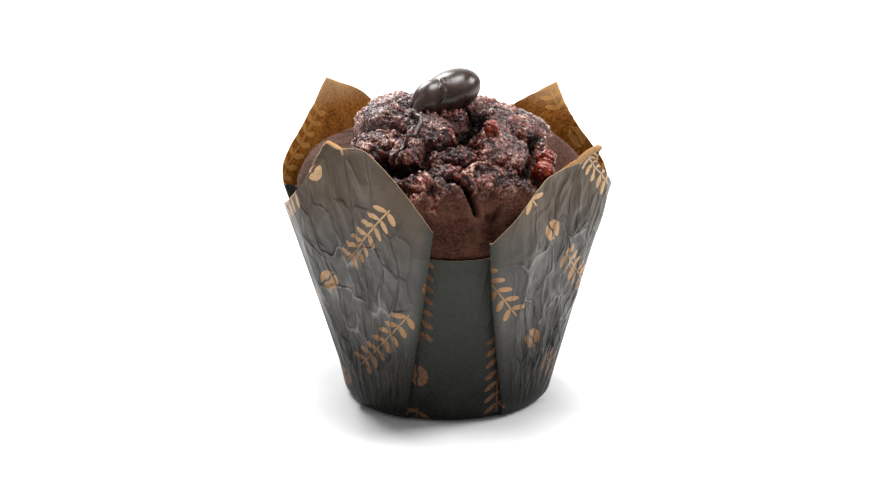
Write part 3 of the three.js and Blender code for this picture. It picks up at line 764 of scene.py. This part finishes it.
def baked_chocolate_crumb(add, options):
    """Chocolate cake baked dark: moist, granular and glinting where broken, with painted glints and a
    painted pale sheen on its raised crumbs and painted shade in its hollows, gaps and cracks; matt and
    pored where whole.
    """
    place = add("TexCoord").outputs["Object"]
    # Crumbs about 0.7 mm across, pores of 0.6 mm, and patches 6 mm across.
    grit = add("TexNoise", {"Vector": place, "Scale": 1400.0, "Detail": 3.0, "Roughness": 0.65})
    pores = add("TexNoise", {"Vector": place, "Scale": 1600.0, "Detail": 4.0, "Roughness": 0.7})
    wander = add("VectorMath.MULTIPLY_ADD", [grit.outputs["Color"], (0.0006, 0.0006, 0.0006), place])
    grains = add("TexVoronoi.SMOOTH_F1", {"Vector": wander, "Scale": 1250.0})
    rounded = add("Math.SUBTRACT", [1.0, grains])
    patch = add("TexNoise", {"Vector": place, "Scale": 170.0, "Detail": 3.0, "Roughness": 0.6})
    broken, low, deep, plate = (
        add("Attribute", attribute_name=name).outputs["Fac"] for name in CRUST_LAYERS
    )
    skin = add("ValToRGB", [pores], stops=[(0.34, "#1c0a04"), (0.5, options.skin), (0.7, "#5b3324")])
    skin = tinted(add, skin, "#6b4838", patch, [(0.45, 0.0), (0.7, 0.45)])
    # The crumb's own grain, with painted highlight and shade: pale on the peaks and near-black in the
    # hollows of the grit that also bumps it.
    crumb = add("ValToRGB", [grit], stops=[(0.38, "#220a05"), (0.5, options.crumb), (0.62, "#c28875")])
    crumb = tinted(add, crumb, "#7a210e", patch, [(0.4, 0.0), (0.58, 0.8)])
    # Painted highlight: the highest crumbs are painted a pale pinkish sheen.
    crumb = tinted(add, crumb, "#cf9a87", low, [(0.06, 0.6), (0.3, 0.0)])
    # Painted shade: the lowest crumbs are painted a near-black red.
    crumb = tinted(add, crumb, "#2a0603", low, [(0.38, 0.0), (0.62, 0.95)])
    smoothed = add("Math.MULTIPLY", [plate, 0.7])
    crumb = add("Mix.RGBA", [smoothed, crumb, "#4a2119"])
    # Painted highlights: the tops of the highest crumbs, away from the hollows, are painted near white as
    # glints.
    tops = add("ValToRGB", [grit], stops=[(0.54, 0.0), (0.6, 1.0)])
    not_low = add("ValToRGB", [low], stops=[(0.15, 1.0), (0.45, 0.0)])
    painted_glints = add("Math.MULTIPLY", [tops, not_low])
    crumb = add("Mix.RGBA", [painted_glints, crumb, "#efcdbd"])
    colour = add("Mix.RGBA", [broken, skin, crumb])
    # Painted shade: the crust is painted near-black deep in its gaps and cracks.
    colour = tinted(add, colour, "#0a0302", deep, [(0.1, 0.0), (0.9, 0.97)])
    moist = add("ValToRGB", [grit], stops=[(0.35, 0.35), (0.65, 0.12)])
    gloss = add("Mix.FLOAT", [broken, 0.72, moist])
    pitted = add("Bump", {"Height": pores, "Strength": 0.8, "Distance": 0.0004})
    gritty = add("Bump", {"Height": grit, "Normal": pitted, "Strength": 0.8, "Distance": 0.0005})
    bump = add("Bump", {"Height": rounded, "Normal": gritty, "Strength": broken, "Distance": 0.0005})
    open_air = add("ValToRGB", [deep], stops=[(0.0, 0.9), (0.5, 0.0)])
    glaze = add("Math.MULTIPLY", [broken, open_air])
    return {
        "Base Color": colour, "Roughness": gloss, "Normal": bump, "IOR": 1.5, "Specular IOR Level": 0.16,
        "Coat Weight": glaze, "Coat Roughness": 0.1, "Coat Normal": bump,
    }


# ---- Dollop ----

LOBES = [
    {"at": (1.0, -2.3, 77.1), "size": (7.9, 6.3, 5.1), "turn": 14, "lean": -24},
    {"at": (-3.7, -5.3, 76.4), "size": (5.3, 4.2, 4.0), "turn": 30, "lean": -36},
]
# The lip where the last of the sauce folded over, seen from the front: x and z.
FOLDED_LIP = [
    (-1.9, 81.7), (-0.8, 81.0), (-0.3, 80.2), (-0.7, 79.2), (-0.4, 78.3), (-1.3, 77.2), (-2.4, 76.0),
]
LIP_WIDTH = 0.85
# The lip, the tail and the thread are beads set this close, and every part is then joined at VOXEL_SIZE.
BEAD_PITCH = 0.22
VOXEL_SIZE = 0.17
# The tail from the lobes to the crust: x, y, z and radius.
TAIL = [
    (-5.0, -7.4, 76.8, 2.0), (-6.4, -8.9, 75.0, 1.5), (-7.4, -9.9, 73.9, 1.1), (-7.8, -10.6, 73.3, 0.95),
]
# The thread along the crust, seen from above: x, y, and its radius as a share of its thickest.
THREAD = [
    (-7.7, -11.4, 1.2), (-7.0, -13.0, 1.1), (-6.0, -14.2, 1.15), (-6.1, -16.0, 1.0), (-7.4, -18.6, 0.85),
    (-8.8, -20.8, 0.7), (-10.0, -22.6, 0.6), (-10.9, -24.0, 0.5),
]


def crust_height(x, y, crust_tree):
    """The height of the crust over a point seen from above, in millimetres."""
    return crust_tree.ray_cast(Vector((x, y, 100)), Vector((0, 0, -1)))[0].z


def surface_tree(piece):
    """What finds points on a piece's surface, in millimetres."""
    return BVHTree.FromPolygons(
        [v.co / MM for v in piece.data.vertices], [p.vertices for p in piece.data.polygons]
    )


def string_of_beads(shape, run):
    """Spheres set close along a line of (point, radius), for a remesh to join."""
    for (a, ra), (b, rb) in zip(run, run[1:]):
        steps = max(2, round((b - a).length / BEAD_PITCH))
        for i in range(steps):
            radius = lerp(ra, rb, i / steps)
            made = bmesh.ops.create_icosphere(shape, subdivisions=2, radius=radius)["verts"]
            bmesh.ops.translate(shape, vec=a.lerp(b, i / steps), verts=made)


def build_dollop(options, muffin):
    """Lobes, a folded lip, a tail and a thread are remeshed into one skin and smoothed."""
    crust_tree = surface_tree(muffin)
    shape = bmesh.new()
    for lobe in LOBES:
        made = bmesh.ops.create_icosphere(shape, subdivisions=5, radius=1)["verts"]
        matrix = (
            Matrix.Translation(lobe["at"])
            @ Matrix.Rotation(math.radians(lobe["turn"]), 4, "Z")
            @ Matrix.Rotation(math.radians(lobe["lean"]), 4, "Y")
            @ Matrix.Diagonal((*lobe["size"], 1))
        )
        bmesh.ops.transform(shape, matrix=matrix, verts=made)
    lobes = BVHTree.FromBMesh(shape)
    fold = []
    for i, (x, z) in enumerate(FOLDED_LIP):
        front = lobes.ray_cast(Vector((x, -50, z)), Vector((0, 1, 0)))[0]
        if front is not None:
            width = LIP_WIDTH * lerp(0.4, 1, math.sin(math.pi * i / (len(FOLDED_LIP) - 1)))
            fold.append((front + Vector((0, width * 0.4, 0)), width))
    string_of_beads(shape, fold)
    run = [(Vector((x, y, z)), radius) for x, y, z, radius in TAIL]
    for x, y, share in THREAD:
        radius = options.thread_width / MM / 2 * share
        run.append((Vector((x, y, crust_height(x, y, crust_tree) + radius + 0.3)), radius))
    string_of_beads(shape, run)
    piece = new_object("chocolate_dollop_poured", shape, [new_material(chocolate_sauce, options)])
    remesh = piece.modifiers.new("one_skin", "REMESH")
    remesh.mode = "VOXEL"
    remesh.voxel_size = VOXEL_SIZE * MM
    remesh.use_smooth_shade = True
    even = piece.modifiers.new("even", "SMOOTH")
    even.factor, even.iterations = 0.5, 7
    apply_modifiers(piece)
    return piece


def apply_modifiers(piece):
    """Replaces the piece's mesh by what its modifiers make of it."""
    graph = bpy.context.evaluated_depsgraph_get()
    made = bpy.data.meshes.new_from_object(piece.evaluated_get(graph))
    old, piece.data = piece.data, made
    piece.modifiers.clear()
    name = old.name
    bpy.data.meshes.remove(old)
    made.name = name


def chocolate_sauce(add, options):
    """Set chocolate sauce: near-black and wet-looking, with a broad soft shine and a warm edge."""
    place = add("TexCoord").outputs["Object"]
    # Streaks about 4 mm across.
    streak = add("TexNoise", {"Vector": place, "Scale": 240.0, "Detail": 2.0})
    colour = add("ValToRGB", [streak], stops=[(0.3, "#251812"), (0.7, options.sauce)])
    gloss = add("ValToRGB", [streak], stops=[(0.35, 0.24), (0.65, 0.38)])
    ripple = add("Bump", {"Height": streak, "Strength": 0.2, "Distance": 0.0006})
    return {
        "Base Color": colour, "Roughness": gloss, "Normal": ripple, "IOR": 1.48,
        "Subsurface Weight": 0.1, "Subsurface Radius": (0.0012, 0.0005, 0.0003), "Subsurface Scale": 1.0,
    }


# ---- Chunks ----

# Place seen from above, radius, how far its middle stands above the crust, and seed.
CHUNKS = {
    "chunk_upper_right": ((24.0, -14.6), 2.4, 1.3, 1.0),
    "chunk_lower_right": ((23.1, -20.6), 2.6, 1.1, 2.0),
    "chunk_centre": ((10.8, -17.2), 1.9, 0.7, 3.0),
}


def build_chunk(name, material, muffin):
    (x, y), radius, proud, seed = CHUNKS[name]
    height = crust_height(x, y, surface_tree(muffin))
    shape = bmesh.new()
    bmesh.ops.create_icosphere(shape, subdivisions=5, radius=1)
    for vertex in shape.verts:
        spot = vertex.co * radius
        near, second, own = cells(spot, 1.5, seed)
        knobs = 0.3 * (0.5 - near) + 0.1 * own - 0.12 * (1 - smooth(second - near, 0, 0.3))
        lean = 0.35 * noise.noise(spot * 0.5 + Vector((seed, 0, 0)))
        vertex.co = vertex.co * (radius + knobs + lean)
    bmesh.ops.translate(shape, vec=(x, y, height + proud), verts=shape.verts)
    return new_object(name + "_baked", shape, [material])


def syrupy_red_chunk(add, options):
    """Baked-in sweet chunks: brick red under a syrupy glaze, letting a little light through."""
    place = add("TexCoord").outputs["Object"]
    # Blotches about 2 mm across.
    patch = add("TexNoise", {"Vector": place, "Scale": 500.0, "Detail": 4.0, "Roughness": 0.6})
    colour = add("ValToRGB", [patch], stops=[(0.34, "#35100a"), (0.5, options.chunk), (0.68, "#96452f")])
    bump = add("Bump", {"Height": patch, "Strength": 0.6, "Distance": 0.0005})
    return {
        "Base Color": colour, "Roughness": 0.14, "Normal": bump, "IOR": 1.45,
        "Subsurface Weight": 0.2, "Subsurface Radius": (0.0015, 0.0004, 0.0002), "Subsurface Scale": 1.0,
    }


# ---- Stage ----


def area_light(name, place, target, size, power):
    data = bpy.data.lights.new(name, "AREA")
    data.shape = "RECTANGLE"
    data.size, data.size_y = size
    data.energy = power
    lamp = bpy.data.objects.new(name, data)
    lamp.location = place
    lamp.rotation_euler = (Vector(target) - Vector(place)).to_track_quat("-Z", "Y").to_euler()
    bpy.context.scene.collection.objects.link(lamp)


def matt_white_card(*_):
    """Matt white card: no shine, and pale enough to melt into the backdrop."""
    return {"Base Color": "#f6f6f6", "Roughness": 0.9}


def build_stage(options):
    scene = bpy.context.scene
    scene.view_settings.view_transform = "Standard"
    floor_shape = bmesh.new()
    bmesh.ops.create_grid(floor_shape, x_segments=1, y_segments=1, size=4000)
    new_object("floor", floor_shape, [new_material(matt_white_card)])
    scene.world = bpy.data.worlds.new("studio")
    scene.world.use_nodes = True
    scene.world.node_tree.nodes.clear()
    add = partial(add_node, scene.world.node_tree)
    # The backdrop shows as plain white, and lights the part less than it shows.
    seen = add("LightPath").outputs["Is Camera Ray"]
    strength = add("MapRange", {0: seen, 3: options.world_light, 4: 1.0})
    backdrop = add("Background", ["#ffffff", strength])
    add("OutputWorld", [backdrop])
    middle = (0, 0, 0.05)
    area_light("softbox_back_left", (-0.35, 0.55, 0.6), middle, (0.4, 0.4), options.key_light)
    area_light("softbox_right", (0.6, 0.1, 0.55), middle, (0.3, 0.3), options.side_light)
    area_light("softbox_top", (0.05, 0.015, 0.9), middle, (0.42, 0.42), options.top_light)
    area_light("backdrop_glow", (0.0, 1.1, 0.35), middle, (1.4, 0.6), options.glow_light)
    camera_data = bpy.data.cameras.new("camera")
    camera = bpy.data.objects.new("camera", camera_data)
    scene.collection.objects.link(camera)
    camera_data.lens = options.lens
    camera_data.sensor_width = 36
    target = Vector((-0.48 * MM, 0, 35.96 * MM))
    elevation = options.camera_elevation
    back = Vector((0, -math.cos(elevation), math.sin(elevation)))
    camera.location = target + back * options.camera_distance
    camera.rotation_euler = (-back).to_track_quat("-Z", "Y").to_euler()
    camera_data.clip_start, camera_data.clip_end = 0.05, 20
    scene.camera = camera


# ---- Add-on ----


class CaseOptions(bpy.types.PropertyGroup):
    paper_thickness: FloatProperty(
        name="Paper thickness", description="Thickness of the sheet",
        default=0.12 * MM, min=0, unit="LENGTH",
    )
    crumple_height: FloatProperty(
        name="Crumple height", description="Height of the ridges pressed into the petals",
        default=0.8 * MM, min=0, unit="LENGTH",
    )
    ink_dry: FloatVectorProperty(
        name="Ink, dry", description="Colour of the printed outside where it is dry",
        subtype="COLOR", default=srgb("#555350"),
    )
    ink_soaked: FloatVectorProperty(
        name="Ink, soaked", description="Colour of the printed outside where butter has soaked in",
        subtype="COLOR", default=srgb("#33342f"),
    )
    kraft: FloatVectorProperty(
        name="Kraft", description="Colour of the bare shapes in the print",
        subtype="COLOR", default=srgb("#a5805c"),
    )
    kraft_inside: FloatVectorProperty(
        name="Kraft, inside", description="Colour of the sheet's inside",
        subtype="COLOR", default=srgb("#7c4a14"),
    )


class MuffinOptions(bpy.types.PropertyGroup):
    crumb_height: FloatProperty(
        name="Crumb height", description="Height of the crumbs of the broken crust",
        default=1.0 * MM, min=0, unit="LENGTH",
    )
    crumb: FloatVectorProperty(
        name="Crumb", description="Colour of the broken crust", subtype="COLOR", default=srgb("#68372a")
    )
    skin: FloatVectorProperty(
        name="Skin", description="Colour of the whole skin", subtype="COLOR", default=srgb("#3f2114")
    )


class DollopOptions(bpy.types.PropertyGroup):
    thread_width: FloatProperty(
        name="Thread width", description="Thickness of the thread of sauce at its top",
        default=1.15 * MM, min=0.4 * MM, unit="LENGTH",
    )
    sauce: FloatVectorProperty(
        name="Sauce", description="Colour of the sauce", subtype="COLOR", default=srgb("#412f28")
    )


class ChunkOptions(bpy.types.PropertyGroup):
    chunk: FloatVectorProperty(
        name="Chunk", description="Colour of the baked-in chunks", subtype="COLOR", default=srgb("#742211")
    )


class StageOptions(bpy.types.PropertyGroup):
    world_light: FloatProperty(
        name="World light", description="Strength of the even light", default=0.27, min=0
    )
    key_light: FloatProperty(
        name="Key light", description="Power of the back left softbox", default=8, min=0, unit="POWER"
    )
    side_light: FloatProperty(
        name="Side light", description="Power of the right softbox", default=4, min=0, unit="POWER"
    )
    top_light: FloatProperty(
        name="Top light", description="Power of the top softbox", default=9, min=0, unit="POWER"
    )
    glow_light: FloatProperty(
        name="Backdrop glow", description="Power of the backdrop", default=5, min=0, unit="POWER"
    )
    camera_distance: FloatProperty(
        name="Camera distance", description="From the camera to the part's middle",
        default=0.5915, min=0.1, unit="LENGTH",
    )
    camera_elevation: FloatProperty(
        name="Camera elevation", description="Angle of the camera above the horizon",
        default=math.radians(18.34), subtype="ANGLE", unit="ROTATION",
    )
    lens: FloatProperty(name="Lens", description="Focal length in millimetres", default=96.35, min=10)


class MUFFIN_OT_case(bpy.types.Operator):
    """Fold the paper case round its former"""

    bl_idname = "muffin.case"
    bl_label = "Paper Case"

    def execute(self, context):
        piece = build_case(context.scene.muffin_case)
        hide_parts("paper_case")
        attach(piece, "root")
        return {"FINISHED"}


class MUFFIN_OT_muffin(bpy.types.Operator):
    """Bake the muffin"""

    bl_idname = "muffin.muffin"
    bl_label = "Muffin"

    def execute(self, context):
        piece = build_muffin(context.scene.muffin_body)
        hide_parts("muffin")
        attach(piece, "root")
        return {"FINISHED"}


class MUFFIN_OT_dollop(bpy.types.Operator):
    """Drop the sauce on the muffin"""

    bl_idname = "muffin.dollop"
    bl_label = "Chocolate Dollop"

    def execute(self, context):
        piece = build_dollop(context.scene.muffin_dollop, bpy.data.objects["muffin_baked"])
        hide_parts("chocolate_dollop")
        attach(piece, "root")
        return {"FINISHED"}


class MUFFIN_OT_chunks(bpy.types.Operator):
    """Set the chunks in the crust"""

    bl_idname = "muffin.chunks"
    bl_label = "Chunks"

    def execute(self, context):
        material = new_material(syrupy_red_chunk, context.scene.muffin_chunks)
        for name in CHUNKS:
            piece = build_chunk(name, material, bpy.data.objects["muffin_baked"])
            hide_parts(name)
            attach(piece, "root")
        return {"FINISHED"}


class MUFFIN_OT_stage(bpy.types.Operator):
    """Set the floor, lights and camera"""

    bl_idname = "muffin.stage"
    bl_label = "Stage"

    def execute(self, context):
        build_stage(context.scene.muffin_stage)
        return {"FINISHED"}


class MUFFIN_PT_panel(bpy.types.Panel):
    """Steps of the muffin"""

    bl_idname = "MUFFIN_PT_panel"
    bl_label = "Muffin"
    bl_space_type = "VIEW_3D"
    bl_region_type = "UI"
    bl_category = "Muffin"

    def draw(self, context):
        layout = self.layout
        for operator in OPERATORS:
            layout.operator(operator.bl_idname)


OPERATORS = (MUFFIN_OT_case, MUFFIN_OT_muffin, MUFFIN_OT_dollop, MUFFIN_OT_chunks, MUFFIN_OT_stage)
OPTIONS = {
    "muffin_case": CaseOptions,
    "muffin_body": MuffinOptions,
    "muffin_dollop": DollopOptions,
    "muffin_chunks": ChunkOptions,
    "muffin_stage": StageOptions,
}
CLASSES = (*OPTIONS.values(), *OPERATORS, MUFFIN_PT_panel)


def register():
    for item in CLASSES:
        bpy.utils.register_class(item)
    for name, group in OPTIONS.items():
        setattr(bpy.types.Scene, name, PointerProperty(type=group))


def unregister():
    for name in OPTIONS:
        delattr(bpy.types.Scene, name)
    for item in reversed(CLASSES):
        bpy.utils.unregister_class(item)


def main():
    register()
    bpy.ops.muffin.case()
    bpy.ops.muffin.muffin()
    bpy.ops.muffin.dollop()
    bpy.ops.muffin.chunks()
    bpy.ops.muffin.stage()


if __name__ == "__main__":
    main()
